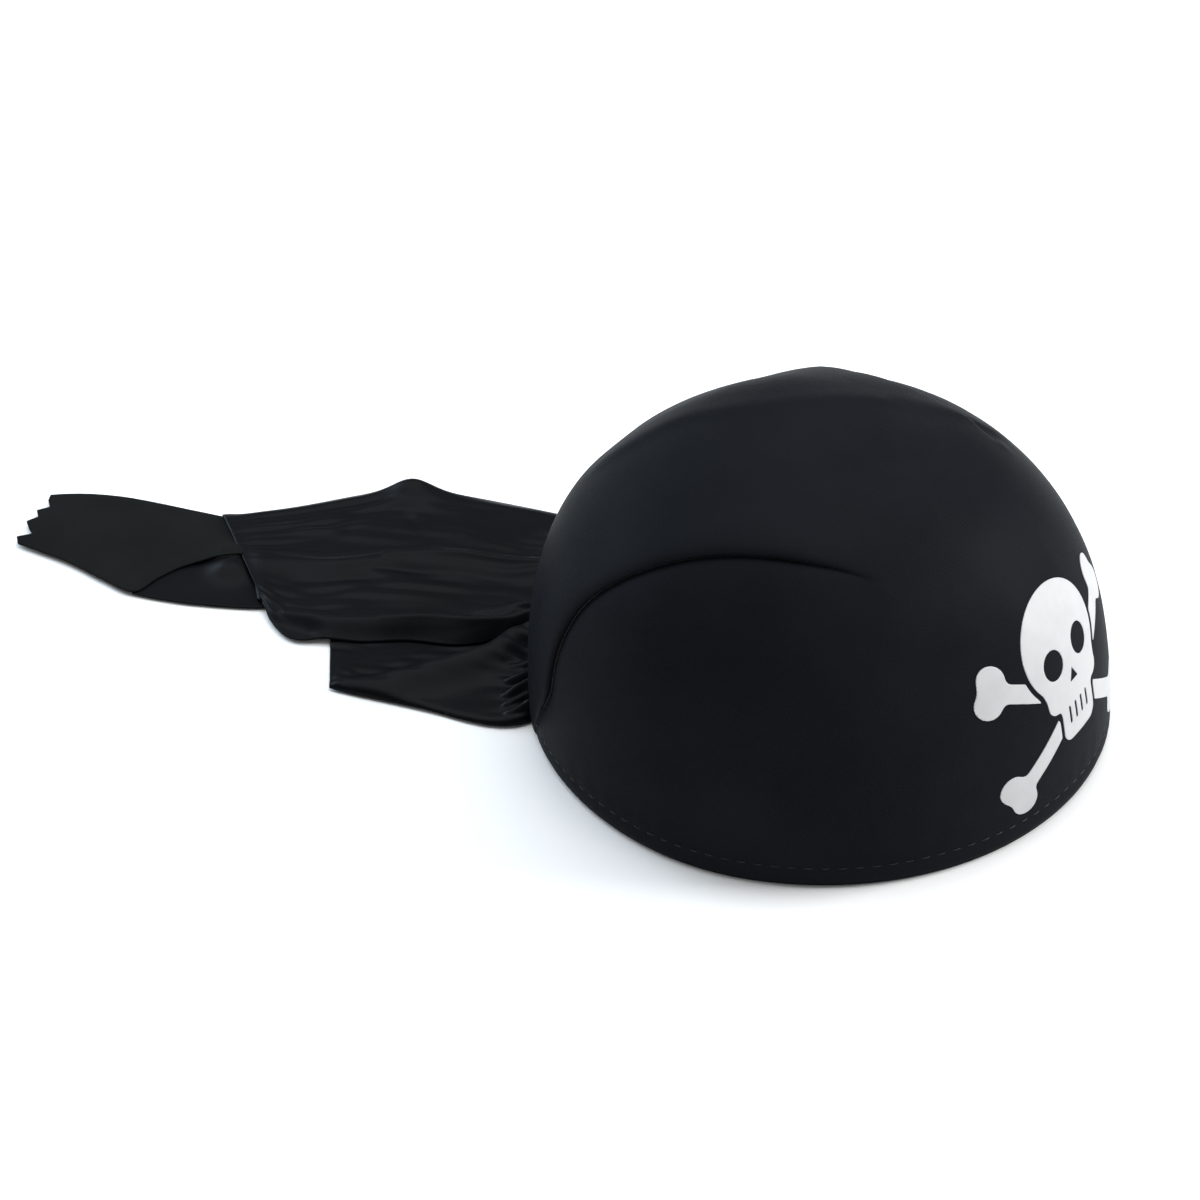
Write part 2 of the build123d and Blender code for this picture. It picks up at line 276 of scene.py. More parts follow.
def base_colour(tree, shader, factor, dark, light, low, high):
    """Base colour between dark and light as the factor goes from low to high."""
    ramp = add_node(tree, "ShaderNodeValToRGB", (("Fac", factor),))
    ramp.color_ramp.elements[0].position = low
    ramp.color_ramp.elements[1].position = high
    ramp.color_ramp.elements[0].color = (*dark, 1.0)
    ramp.color_ramp.elements[1].color = (*light, 1.0)
    tree.links.new(ramp.outputs["Color"], shader.inputs["Base Color"])


def add_bump(tree, shader, height, strength, distance):
    """Bump from a height output; distance is in metres."""
    links = (("Height", height), ("Strength", strength), ("Distance", distance))
    tree.links.new(add_node(tree, "ShaderNodeBump", links).outputs["Normal"], shader.inputs["Normal"])


def rib_height(tree):
    """Height of a fine knit: wales crossed by weaker courses, from the place on the knit in mm."""
    place = add_node(tree, "ShaderNodeAttribute", attribute_name="knit").outputs["Vector"]
    axes = split_axes(tree, place)
    wale_turn = math_node(tree, "MULTIPLY", axes[0], 2 * math.pi / KNIT_PITCH)
    wale = math_node(tree, "COSINE", wale_turn)
    lean = math_node(tree, "MULTIPLY", math_node(tree, "ABSOLUTE", wale), 1.4)
    course_turn = math_node(tree, "MULTIPLY", axes[1], 2 * math.pi / KNIT_COURSE)
    course_wave = math_node(tree, "COSINE", math_node(tree, "ADD", course_turn, lean))
    return scaled_sum(tree, course_wave, 0.35, wale)


def knit_material():
    """Fine ribbed near-black knit, bluish, with painted light: lighter below the hem line, standing in for
    light bounced up from the floor onto the cap's lowest band.
    """
    material, tree, shader = new_material("black_knit", (0.006, 0.0063, 0.0072), 0.46)
    fuzz = object_noise(tree, 1600.0, 3.0)
    height = scaled_sum(tree, fuzz, 2.6, math_node(tree, "MULTIPLY", rib_height(tree), 0.6))
    # Tone follows the knit's height and a coarse noise: the noise is random tone of the yarn, while the rib
    # part paints the grooves a little darker as painted shade.
    tone = scaled_sum(tree, height, 0.16, object_noise(tree, 28.0, 3.0))
    # Painted light: below the hem line the knit's tone is raised, a painted floor bounce that lifts the shade
    # on the bottom band of the cap.
    hem = math_node(tree, "LESS_THAN", split_axes(tree, object_place(tree))[2], HEM_LINE * MM)
    tone = scaled_sum(tree, hem, 0.5, tone)
    base_colour(tree, shader, tone, (0.0050, 0.0058, 0.0074), (0.0089, 0.0099, 0.0122), 0.2, 0.95)
    add_bump(tree, shader, height, 0.32, 0.0001)
    shader.inputs["Specular IOR Level"].default_value = 0.010
    return material


TWILL_PITCH = 0.0011


def satin_material(name, dark, light, roughness):
    """Thin woven cloth: fine twill in the object's coordinates."""
    material, tree, shader = new_material(name, dark, roughness)
    axes = split_axes(tree, object_place(tree))
    slant = scaled_sum(tree, axes[1], 0.6, axes[0])
    twill = math_node(tree, "SINE", math_node(tree, "MULTIPLY", slant, 2 * math.pi / TWILL_PITCH))
    grain = math_node(tree, "MULTIPLY", object_noise(tree, 900.0, 3.0), 1.5)
    height = scaled_sum(tree, twill, 0.12, grain)
    tone = scaled_sum(tree, height, 0.15, object_noise(tree, 35.0, 3.0))
    base_colour(tree, shader, tone, dark, light, 0.25, 0.95)
    add_bump(tree, shader, height, 0.3, 0.00008)
    shader.inputs["Specular IOR Level"].default_value = 0.06
    return material


def print_material():
    """Matt white heat-transfer film with the knit showing through faintly."""
    material, tree, shader = new_material("white_print", (0.84, 0.84, 0.85), 0.5)
    mottle = object_noise(tree, 120.0, 4.0)
    base_colour(tree, shader, mottle, (0.385, 0.39, 0.395), (0.425, 0.43, 0.435), 0.25, 0.7)
    add_bump(tree, shader, scaled_sum(tree, rib_height(tree), 0.3, mottle), 0.25, 0.0001)
    return material


def thread_material():
    """Twisted black thread, a little lighter than the cloth."""
    material, tree, shader = new_material("black_thread", (0.02, 0.021, 0.023), 0.5)
    twist = object_noise(tree, 2500.0, 2.0)
    base_colour(tree, shader, twist, (0.004, 0.0045, 0.006), (0.011, 0.012, 0.014), 0.3, 0.7)
    shader.inputs["Specular IOR Level"].default_value = 0.3
    add_bump(tree, shader, twist, 0.4, 0.0001)
    return material


def soft_material(name, dark, light, roughness, grain_scale, depth, sheen):
    """Brushed or foamed inside material."""
    material, tree, shader = new_material(name, dark, roughness)
    grain = object_noise(tree, grain_scale, 4.0)
    patches = object_noise(tree, 40.0, 3.0)
    tone = math_node(tree, "MULTIPLY", math_node(tree, "ADD", grain, patches), 0.5)
    base_colour(tree, shader, tone, dark, light, 0.3, 0.7)
    add_bump(tree, shader, grain, 0.5, depth)
    shader.inputs["Sheen Weight"].default_value = sheen
    return material


def band_material(name, dark, light, pitch):
    """Woven tape or braid with ribs that run round the head."""
    material, tree, shader = new_material(name, dark, 0.6)
    upwards = split_axes(tree, object_place(tree))[2]
    ribs = math_node(tree, "SINE", math_node(tree, "MULTIPLY", upwards, 2 * math.pi / pitch))
    height = scaled_sum(tree, ribs, 0.5, object_noise(tree, 1200.0, 3.0))
    tone = math_node(tree, "MULTIPLY", math_node(tree, "ADD", height, 0.5), 0.5)
    base_colour(tree, shader, tone, dark, light, 0.2, 0.9)
    add_bump(tree, shader, height, 0.5, 0.00025)
    shader.inputs["Sheen Weight"].default_value = 0.3
    return material


def floor_material():
    """Pale matt studio floor with a barely visible mottle."""
    material, tree, shader = new_material("floor", (0.93, 0.93, 0.93), 0.8)
    mottle = object_noise(tree, 6.0, 3.0)
    base_colour(tree, shader, mottle, (0.92, 0.92, 0.92), (0.94, 0.94, 0.94), 0.3, 0.7)
    return material


# ---------------------------------------------------------------- shape of the cap

BROW_HEIGHT = 4.7
RIM_TUCK = 2.2
WALL_CURVE = 2.23
TOP_CURVE = 2.68
CROWN_FLAT = 0.5
KNIT_PITCH = 1.15
KNIT_COURSE = 0.9
COVER_THICKNESS = 0.6
FOAM_DEPTH = 0.75
FOAM_INNER_DEPTH = 4.6
CROWN_LEAN = 2.4
BROW_FULLNESS = 1.2
NAPE_NARROWING = 0.035
SLUMP = 1.8
SLUMP_WIDTH = 19
SLUMP_START = np.array((-82, 10, 96))
SLUMP_RUN = np.array((34, 35, 11))

cover_low, cover_high = box_mm("outer_cover")
HALF_LENGTH, HALF_WIDTH = cover_high[0], cover_high[1]
CROWN_HEIGHT = cover_high[2] + CROWN_FLAT
FOOT = cover_low[2]


def wall_share(height, depth=0.0):
    """Share of the rim's radius that the wall has at a height, some way below the outer surface."""
    rise = CROWN_HEIGHT - depth - BROW_HEIGHT
    climb = np.clip((height - BROW_HEIGHT) / rise, 0, 1)
    tuck = np.clip((BROW_HEIGHT - height) / BROW_HEIGHT, 0, None)
    wall = np.clip(1 - climb**TOP_CURVE, 0, 1) ** (1 / WALL_CURVE)
    return np.where(height < BROW_HEIGHT, 1 - RIM_TUCK / HALF_LENGTH * tuck**2, wall)


def wall_point(around, height, depth=0.0):
    """Point of the wall at an angle round the cap, a height, and a depth below the outer surface."""
    share = wall_share(height, depth)
    x = (HALF_LENGTH - depth) * share * np.cos(around)
    y = (HALF_WIDTH - depth) * share * np.sin(around)
    return np.stack(np.broadcast_arrays(x, y, height), -1)


def wall_normal(points):
    """Outward unit normal of the outer surface."""
    x, y, z = points[..., 0], points[..., 1], points[..., 2]
    radius = np.maximum(np.sqrt((x / HALF_LENGTH) ** 2 + (y / HALF_WIDTH) ** 2), 1e-6)
    climb = np.clip((z - BROW_HEIGHT) / (CROWN_HEIGHT - BROW_HEIGHT), 0, 1)
    tuck = np.clip((BROW_HEIGHT - z) / BROW_HEIGHT, 0, None)
    out = WALL_CURVE * radius ** (WALL_CURVE - 2)
    up = TOP_CURVE * climb ** (TOP_CURVE - 1) / (CROWN_HEIGHT - BROW_HEIGHT)
    down = WALL_CURVE * 2 * tuck * RIM_TUCK / HALF_LENGTH / BROW_HEIGHT
    normal = np.stack([out * x / HALF_LENGTH**2, out * y / HALF_WIDTH**2, up - down], -1)
    return normal / np.linalg.norm(normal, axis=-1, keepdims=True)


def ray_to_wall(directions):
    """Points where rays from the middle of the rim meet the outer surface."""
    near = np.zeros(directions.shape[:-1])
    far = np.full(directions.shape[:-1], 1.5 * CROWN_HEIGHT)
    start = np.array([0.0, 0.0, FOOT])
    for _ in range(40):
        middle = (near + far) / 2
        points = start + middle[..., None] * directions
        radius = np.sqrt((points[..., 0] / HALF_LENGTH) ** 2 + (points[..., 1] / HALF_WIDTH) ** 2)
        inside = (radius < wall_share(points[..., 2])) & (points[..., 2] < CROWN_HEIGHT)
        near = np.where(inside, middle, near)
        far = np.where(inside, far, middle)
    return start + near[..., None] * directions


def moulded(points):
    """Cap as it is worn in: crown a little forward, brow fuller, nape narrower, far back sunk in."""
    x, y, z = points[..., 0], points[..., 1], points[..., 2]
    print_side = smooth_step(x, 50, 85) * smooth_step(y, 55, 20)
    top = smooth_step(z + 0.3 * x, 58, 100) * (1 - print_side)
    forward = CROWN_LEAN * top + BROW_FULLNESS * smooth_step(x, 0, 100) * smooth_step(y, -30, 50) * (1 - top)
    narrow = 1 - NAPE_NARROWING * smooth_step(-x, -20, 80) * (1 - 0.5 * top)
    along = np.clip((x - SLUMP_START[0]) / SLUMP_RUN[0], 0, 1)
    sunk_line = along[..., None] * SLUMP_RUN + SLUMP_START
    slump = SLUMP * bump(np.linalg.norm(points - sunk_line, axis=-1), SLUMP_WIDTH)
    sunk = 1 - slump / np.linalg.norm(points, axis=-1)
    return np.stack([x + forward, y * narrow, z], -1) * sunk[..., None]


def knit_place(points):
    """Place on the knit, in mm: distance from the crown along the wall, in the plan's direction."""
    heights = CROWN_HEIGHT - (CROWN_HEIGHT - FOOT) * np.linspace(0, 1, 400) ** 2
    run = (HALF_LENGTH + HALF_WIDTH) / 2 * wall_share(heights)
    steps = np.hypot(np.diff(run), np.diff(heights))
    travelled = np.concatenate([[run[0]], run[0] + np.cumsum(steps)])
    away = np.interp(-points[..., 2], -heights, travelled)
    radius = np.maximum(np.hypot(points[..., 0], points[..., 1]), 1e-6)
    flat = np.zeros_like(points)
    flat[..., 0] = away * points[..., 0] / radius
    flat[..., 1] = away * points[..., 1] / radius
    return flat


def set_knit(piece, places):
    """Store the place on the knit of each point of a piece."""
    data = piece.data.attributes.new("knit", "FLOAT_VECTOR", "POINT")
    data.data.foreach_set("vector", np.asarray(places, np.float32).reshape(-1))


# ---------------------------------------------------------------- cover with its bandana folds

FOLD_START_FAN = math.radians(98)
FOLD_END_FAN = math.radians(117)
FAN_STEPS = 246
HEM_LINE = 9.0

# Section across a bandana fold, from the side band to the crown: where the cloth starts from, where
# it goes, and how far it stands out. The crown's cloth rolls over the band's.
FOLD_SECTION = np.array([
    (-24.0, -24.0, 0.0), (-16.0, -16.0, 0.0), (-11.0, -11.0, -0.03), (-7.5, -7.5, -0.10),
    (-5.0, -5.0, -0.20), (-3.4, -3.3, -0.35), (-2.3, -2.1, -0.55), (-1.5, -1.2, -0.80),
    (-0.9, -0.4, -1.10), (-0.4, 0.3, -1.35), (0.0, 0.7, -1.20), (0.4, 0.5, -0.75),
    (0.8, 0.1, -0.15), (1.2, 0.0, 0.50), (1.7, 0.2, 1.10), (2.3, 0.9, 1.50),
    (3.0, 2.0, 1.72), (4.0, 3.3, 1.80), (5.3, 5.0, 1.74), (7.0, 6.9, 1.60),
    (9.5, 9.5, 1.38), (13.0, 13.0, 1.06), (18.0, 18.0, 0.70), (26.0, 26.0, 0.35),
])

# The far fold is fainter at the nape and stands proudest just behind the crown, by degrees of fan.
FAR_FOLD = np.array([
    (0, 0.8), (45, 0.8), (58, 0.9), (66, 1.8), (74, 1.5), (82, 0.5), (90, 0.3), (104, 0.4), (111, 0.8),
])

# Crest of the soft ridge that the far edge of the crown panel makes under the knit.
CROWN_RIDGE = [
    (-86, -20, 88), (-72, -14, 105), (-55, -3, 117), (-36, 4, 123.5), (-17, 13, 126), (-1, 24, 125.5),
    (18, 36, 121.5), (35, 49, 112), (44, 54, 105),
]


def fold_latitude(fan):
    """Latitude of the bandana fold, by the angle of the fan from the back rim over the crown."""
    degrees = np.degrees(fan)
    rising = 35.0 + 8.5 * smooth_step(degrees, -6, 26)
    return np.radians(rising - 0.25 * np.clip(degrees - 28, 0, 92))


def fold_strength(fan):
    """How far the fold stands out: faint at the rim, full over the crown, gone before the brow."""
    rise = 0.25 + 0.75 * smooth_step(np.degrees(fan), 2, 30)
    return rise * (1 - smooth_step(fan, FOLD_START_FAN, FOLD_END_FAN))


def crown_ridge(points):
    """Soft ridge along the far edge of the crown panel, steeper towards the crown."""
    line = smooth_path(CROWN_RIDGE, 60)
    away = np.linalg.norm(points[..., None, :] - line, axis=-1)
    nearest = away.argmin(-1)
    distance = away.min(-1)
    beyond = np.take(line[:, 1], nearest) < points[..., 1]
    width = np.where(beyond, 8.0, 3.5)
    share = nearest / (len(line) - 1)
    return 0.75 * bump(distance, width) * smooth_step(share, 0.0, 0.12)


def relief(points):
    """Small unevenness of the cover: slack over the foam, the drawn-in hem line and its puckers."""
    x, y, z = points[..., 0], points[..., 1], points[..., 2]
    around = np.arctan2(y, x)
    slack = 0.20 * np.sin(x / 17 + y / 29) * np.sin(y / 19 - z / 23 + 0.7)
    slack += 0.08 * np.sin(x / 9 - z / 11) * np.sin(y / 11 + x / 31 + 2.1)
    hem = -0.30 * bump(z - HEM_LINE, 1.3)
    pucker = 0.07 * np.sin(60 * around + 1.5 * np.sin(7 * around)) * bump(z - HEM_LINE - 3, 6.0)
    return (slack + pucker) * smooth_step(z, 1, 12) + hem


def fold_ends(points):
    """Dimple where each bandana fold runs out, with the small swelling beyond it."""
    result = np.zeros(points.shape[:-1])
    for side in (-1, 1):
        dimple = np.array([45.0, 50.5 * side, 107.5])
        swelling = np.array([51.5, 47.5 * side, 106])
        result -= 0.20 * bump(np.linalg.norm(points - dimple, axis=-1), 3.0)
        result += 0.35 * bump(np.linalg.norm(points - swelling, axis=-1), 3.2)
    return result


def fold_half(fan, proud):
    """Latitudes and lifts from the middle of the crown to one side; proud scales the fold by fan."""
    crease = fold_latitude(fan)
    strength = fold_strength(fan) * proud
    at_crease = np.stack([-np.cos(fan) * np.cos(crease), np.sin(crease), np.sin(fan) * np.cos(crease)], -1)
    radius = np.linalg.norm(ray_to_wall(at_crease) - (0, 0, FOOT), axis=-1)
    start = FOLD_SECTION[::-1, 0]
    end = FOLD_SECTION[::-1, 1]
    raised = FOLD_SECTION[::-1, 2]
    inner_end = crease - start[0] / radius
    outer_end = crease - start[-1] / radius
    latitudes = []
    lifts = []
    for share in np.linspace(0, 1, 24)[:-1]:
        latitudes.append(inner_end * share)
        lifts.append(raised[0] * strength * smooth_step(share, 0.2, 1.0))
    for begin, finish, height in zip(start, end, raised):
        roll = np.minimum(strength, 1)
        latitudes.append(crease - (begin + roll * (finish - begin)) / radius)
        lifts.append(height * strength)
    for share in np.linspace(0, 1, 36)[1:]:
        latitudes.append(outer_end + (math.pi / 2 - outer_end) * share)
        lifts.append(raised[-1] * strength * (1 - smooth_step(share, 0.0, 0.5)))
    return np.stack(latitudes, 1), np.stack(lifts, 1)


def cover_grid(fan_steps):
    """Points of the moulded surface under the folds, with the normals and the lift of the cover."""
    fan = np.linspace(0, math.pi, fan_steps)
    near_latitude, near_lift = fold_half(fan, 1.0)
    far_latitude, far_lift = fold_half(fan, np.interp(np.degrees(fan), FAR_FOLD[:, 0], FAR_FOLD[:, 1]))
    latitude = np.concatenate([-near_latitude[:, :0:-1], far_latitude], 1)
    lift = np.concatenate([near_lift[:, :0:-1], far_lift], 1)
    angle = fan[:, None]
    rays = np.stack([
        -np.cos(angle) * np.cos(latitude),
        np.sin(latitude),
        np.sin(angle) * np.cos(latitude),
    ], -1)
    base = ray_to_wall(rays)
    return base, wall_normal(base), lift + fold_ends(base) + crown_ridge(base)


def make_cover():
    """Cover of the cap on a grid that fans about the cross axis, so that the folds lie along it."""
    base, normal, lift = cover_grid(FAN_STEPS)
    outer = base + normal * (lift + relief(base))[..., None]
    outer[..., 2] = np.maximum(outer[..., 2], FOOT)
    inner = base + normal * (np.minimum(lift, 0) - COVER_THICKNESS)[..., None]
    inner[..., 2] = np.maximum(inner[..., 2], FOOT)
    cover = closed_shell("knit_cover", outer, inner, [knit], shape=moulded)
    set_knit(cover, np.concatenate([knit_place(base).reshape(-1, 3)] * 2))
    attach(cover, "cap")
    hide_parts("outer_cover")


def make_foam():
    """Moulded foam under the cover, pressed in along the folds."""
    bottom = box_mm("foam_shell")[0][2]
    base, normal, lift = cover_grid(FAN_STEPS // 2)
    outer = base + normal * (np.minimum(lift, 0) - FOAM_DEPTH)[..., None]
    inner = base - normal * FOAM_INNER_DEPTH
    for layer in (outer, inner):
        layer[..., 2] = np.maximum(layer[..., 2], bottom)
    shell = closed_shell("foam_dome", outer, inner, [foam], shape=moulded)
    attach(shell, "cap")
    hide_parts("foam_shell")


def outer_surface(base):
    """Cover's outer surface away from the folds."""
    return base + wall_normal(base) * relief(base)[..., None]


# ---------------------------------------------------------------- hem, lining, band and label

RING_STEPS = 240
HEM_LEG_DEPTH = 5.3
HEM_THICKNESS = 0.35
LINING_INNER_DEPTH = 5.1
LINING_THICKNESS = 0.4
BAND_INNER_DEPTH = 6.75
BAND_OUTER_DEPTH = 5.85
LABEL_THICKNESS = 0.3


def ring_angles():
    """Angles round the cap, as a column."""
    return np.arange(RING_STEPS)[:, None] * 2 * math.pi / RING_STEPS


def ring_grid(heights, depth):
    """Points right round the wall at each height, at one depth or a depth for each height."""
    around = ring_angles()
    return wall_point(around, heights + 0 * around, depth + 0 * around)


def make_hem():
    """Edge of the cover turned in under the rim and up the inside of the lining."""
    top = box_mm("rim_hem")[1][2]
    leg = HEM_LEG_DEPTH
    depths = np.array([0.75, 0.40, 0.20, 0.25, 0.6, 1.4, 2.8, 4.0, 4.7, leg, leg, leg, leg, leg + 0.1])
    heights = np.array([2.2, 1.6, 1.0, 0.7, 0.5, 0.4, 0.35, 0.4, 0.6, 1.2, 3.0, 6.0, 8.6, top])
    around = ring_angles()
    grid = ring_grid(heights, depths)
    ripple = 0.10 * np.sin(70 * around + 2 * np.sin(5 * around))
    grid[:, -5:-1] += wall_normal(grid[:, -5:-1]) * ripple[..., None]
    # Rows x columns gives the normal of the hem's hidden side here, so the exposed side comes second.
    exposed = grid - HEM_THICKNESS * grid_normals(grid, True)
    exposed[..., 2] = np.maximum(exposed[..., 2], 0)
    hem = closed_shell("rim_hem_fold", grid, exposed, [knit], True, moulded)
    set_knit(hem, np.concatenate([knit_place(grid).reshape(-1, 3)] * 2))
    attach(hem, "cap")
    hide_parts("rim_hem")


def make_lining():
    """Thin lining bonded inside the foam, with faint wrinkles and a crown seam."""
    turns = np.linspace(0, 1, 70)
    low, high = box_mm("inner_lining")
    rise = high[2] - low[2]
    heights = low[2] + rise * np.sin(turns * math.pi / 2) ** 0.75
    around = ring_angles()
    grid = ring_grid(heights, LINING_INNER_DEPTH)
    wrinkle = 0.16 * np.sin(9 * around + heights / 9) * np.sin(heights / 14 + 3 * np.sin(around))
    wrinkle = wrinkle + 0.25 * bump(np.abs(np.sin(around)) * 60, 1.2) * smooth_step(heights, 20, 40)
    inner = grid - wall_normal(grid) * wrinkle[..., None]
    outer = ring_grid(heights, LINING_INNER_DEPTH - LINING_THICKNESS)
    lining = closed_shell("lining_cloth", outer, inner, [lining_cloth], True, moulded)
    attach(lining, "cap")
    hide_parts("inner_lining")


def make_sweatband():
    """Soft tape round the inside of the rim, a little puckered where the elastic draws it in."""
    low, high = box_mm("sweatband")
    heights = np.linspace(low[2], high[2], 22)
    around = ring_angles()
    drawn = smooth_step(np.cos(around), -0.45, -0.8)
    swell = np.sin(math.pi * (heights - low[2]) / (high[2] - low[2]))
    pucker = 0.4 * drawn * np.sin(64 * around + np.sin(9 * around)) * swell
    edge = 0.35 * (bump(heights - low[2], 1.0) + bump(heights - high[2], 1.0))
    grid = ring_grid(heights, BAND_INNER_DEPTH - edge)
    inner = grid - wall_normal(grid) * (pucker + 0.05)[..., None]
    outer = ring_grid(heights, BAND_OUTER_DEPTH)
    band = closed_shell("sweatband_tape", outer, inner, [band_tape], True, moulded)
    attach(band, "cap")
    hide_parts("sweatband")


def make_label():
    """Blank woven label: a folded loop that hangs from its sewn edge."""
    low, high = box_mm("care_label")
    x = (low[0] + high[0]) / 2
    top = high[2] - 0.4
    drop = top - low[2]
    across = np.linspace(low[1], high[1], 14)
    along = np.linspace(0, 1, 26)
    curl = 0.5 * np.sin(math.pi * along) + 0.4 * along**3
    grid = np.stack(np.broadcast_arrays(
        x + 0.1 + curl[:, None] + 0.15 * np.sin(across / 4)[None, :] * along[:, None],
        across[None, :],
        (top - drop * along)[:, None],
    ), -1)
    label = cloth_sheet("blank_label", grid, LABEL_THICKNESS, [label_cloth])
    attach(label, "label")
    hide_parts("care_label")


# ---------------------------------------------------------------- stitches

STITCHES_ROUND = 110
THREAD_RADIUS = 0.24
STITCH_LENGTH = 3.6
SEAM_STITCH_LENGTH = 3.4
BAND_STITCH_HEIGHT = 25.0
BAND_STITCH_DEPTH = 6.85


def thread_stitches(name, centres, directions, normals, length, node):
    """Separate stitches: short arcs of thread that rise from the cloth and go back into it."""
    steps = 9
    sides = 6
    run = np.linspace(-0.5, 0.5, steps)
    arch = THREAD_RADIUS * (1.5 * np.cos(math.pi * run) ** 0.6 - 1.0)
    thin = 0.55 + 0.45 * np.cos(math.pi * run) ** 0.5
    turn = np.arange(sides) * 2 * math.pi / sides
    points = []
    faces = []
    for centre, direction, normal in zip(centres, directions, normals):
        across = np.cross(normal, direction)
        line = centre + length * run[:, None] * direction + arch[:, None] * normal
        ring = np.cos(turn)[:, None] * across + np.sin(turn)[:, None] * normal
        tube = line[:, None, :] + THREAD_RADIUS * thin[:, None, None] * ring[None, :, :]
        faces += tube_faces(steps, sides, start=len(points) * steps * sides)
        points.append(tube.reshape(-1, 3))
    points = np.concatenate(points)
    stitches = new_object(name, moulded(points), faces, [thread])
    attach(stitches, "cap")
    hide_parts(node)


def row_of_stitches(name, node, height, depth, side):
    """Row of stitches right round the cap, on its outside or inside."""
    around = np.arange(STITCHES_ROUND) * 2 * math.pi / STITCHES_ROUND
    base = wall_point(around, np.full(STITCHES_ROUND, height), depth)
    normals = side * wall_normal(base)
    centres = outer_surface(base) if side > 0 else base
    ahead = wall_point(around + 0.01, np.full(STITCHES_ROUND, height), depth)
    directions = ahead - base
    directions /= np.linalg.norm(directions, axis=-1, keepdims=True)
    thread_stitches(name, centres, directions, normals, STITCH_LENGTH, node)


# ---------------------------------------------------------------- print on the front

PRINT_GRID = 0.5
FILM_THICKNESS = 0.22
FILM_SINK = 0.12
PRINT_GAP = 1.8

# A plain skull of simple shapes, seen from the front in mm: across to the wearer's left, and up.
# Each shape is its centre and half sizes.
CRANIUM = ((0.0, 66.0), (23.0, 20.0))
CHEEKS = ((0.0, 50.0), (17.5, 6.5))
JAW = ((0.0, 37.5), (11.0, 8.5))
CORNER_RADIUS = 4.5
MERGE = 3.0
EYE_SPREAD = 9.5
EYE_LEVEL = 61.5
EYE_RADIUS = 5.6
NOSE_FOOT = 50.5
NOSE_RISE = 5.0
NOSE_HALF_WIDTH = 2.8
TOOTH_SLITS = (-6.0, -2.0, 2.0, 6.0)
TOOTH_ENDS = (36.0, 42.0)
TOOTH_SLIT_WIDTH = 1.3
BONE_CROSSING = 46.0
BONE_WIDTH = 7.0
KNOB_RADIUS = 5.4
KNOB_SPREAD = 0.8
BONE_TIPS = {
    "upper_right": (-39.0, 66.0),
    "upper_left": (39.0, 66.0),
    "lower_right": (-36.0, 21.5),
    "lower_left": (36.0, 21.5),
}


def segment_distance(places, start, end):
    """Distance from each place to a straight segment."""
    run = end - start
    share = np.clip(((places - start) @ run) / (run @ run), 0, 1)
    return np.linalg.norm(places - start - share[..., None] * run, axis=-1)


def ellipse_distance(places, centre, half):
    """Roughly the distance to an ellipse, negative inside."""
    return (np.linalg.norm((places - centre) / half, axis=-1) - 1) * min(half)


def block_distance(places, centre, half):
    """Distance to a rectangle with rounded corners, negative inside."""
    beyond = np.abs(places - centre) - half + CORNER_RADIUS
    outside = np.linalg.norm(np.maximum(beyond, 0), axis=-1)
    return outside + np.minimum(beyond.max(-1), 0) - CORNER_RADIUS


def merged(first, second):
    """Two shapes joined with a small fillet."""
    share = np.clip(0.5 + 0.5 * (second - first) / MERGE, 0, 1)
    return second * (1 - share) + first * share - MERGE * share * (1 - share)


def skull_blank(places):
    """Cranium, cheeks and jaw without their openings."""
    upper = merged(ellipse_distance(places, *CRANIUM), block_distance(places, *CHEEKS))
    return merged(upper, block_distance(places, *JAW))


def film_mesh(name, node, field, low, high):
    """Film cut along the zero line of a field over a grid, laid on the front of the cap."""
    across = np.arange(low[0], high[0] + PRINT_GRID, PRINT_GRID)
    upwards = np.arange(low[1], high[1] + PRINT_GRID, PRINT_GRID)
    places = np.stack(np.meshgrid(across, upwards, indexing="ij"), -1)
    values = field(places)
    values = np.where(np.abs(values) < 1e-4, 1e-4, values)
    points = {}
    order = []

    def corner(i, j):
        key = (i, j)
        if key not in points:
            points[key] = len(order)
            order.append(places[i, j])
        return points[key]

    def crossing(i, j, k, m):
        key = (i, j, k, m) if (i, j) < (k, m) else (k, m, i, j)
        if key not in points:
            points[key] = len(order)
            share = values[i, j] / (values[i, j] - values[k, m])
            order.append(places[i, j] + share * (places[k, m] - places[i, j]))
        return points[key]

    faces = []
    mixed = np.minimum.reduce([values[:-1, :-1], values[1:, :-1], values[1:, 1:], values[:-1, 1:]]) < 0
    for i, j in zip(*np.nonzero(mixed)):
        ring = ((i, j), (i + 1, j), (i + 1, j + 1), (i, j + 1))
        face = []
        for at, after in zip(ring, ring[1:] + ring[:1]):
            if values[at] < 0:
                face.append(corner(*at))
            if (values[at] < 0) != (values[after] < 0):
                face.append(crossing(*at, *after))
        if len(face) >= 3:
            faces.append(face)
    flat = np.array(order)
    spread = flat[:, 0] / HALF_WIDTH
    x = HALF_LENGTH * np.sqrt(np.maximum(wall_share(flat[:, 1]) ** 2 - spread**2, 0))
    base = np.stack([x, flat[:, 0], flat[:, 1]], -1)
    surface = outer_surface(base)
    normal = wall_normal(base)
    film_top = surface + normal * FILM_THICKNESS
    film_back = surface - normal * FILM_SINK
    count = len(flat)
    edges = {}
    for face in faces:
        for start, end in zip(face, face[1:] + face[:1]):
            edges[(start, end)] = edges.get((start, end), 0) + 1
    walls = [(end, start, start + count, end + count) for start, end in edges if (end, start) not in edges]
    everything = list(faces) + [[v + count for v in face[::-1]] for face in faces] + walls
    film = new_object(name, moulded(np.concatenate([film_top, film_back])), everything, [white_film])
    set_knit(film, np.concatenate([knit_place(base)] * 2))
    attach(film, "cap")
    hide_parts(node)


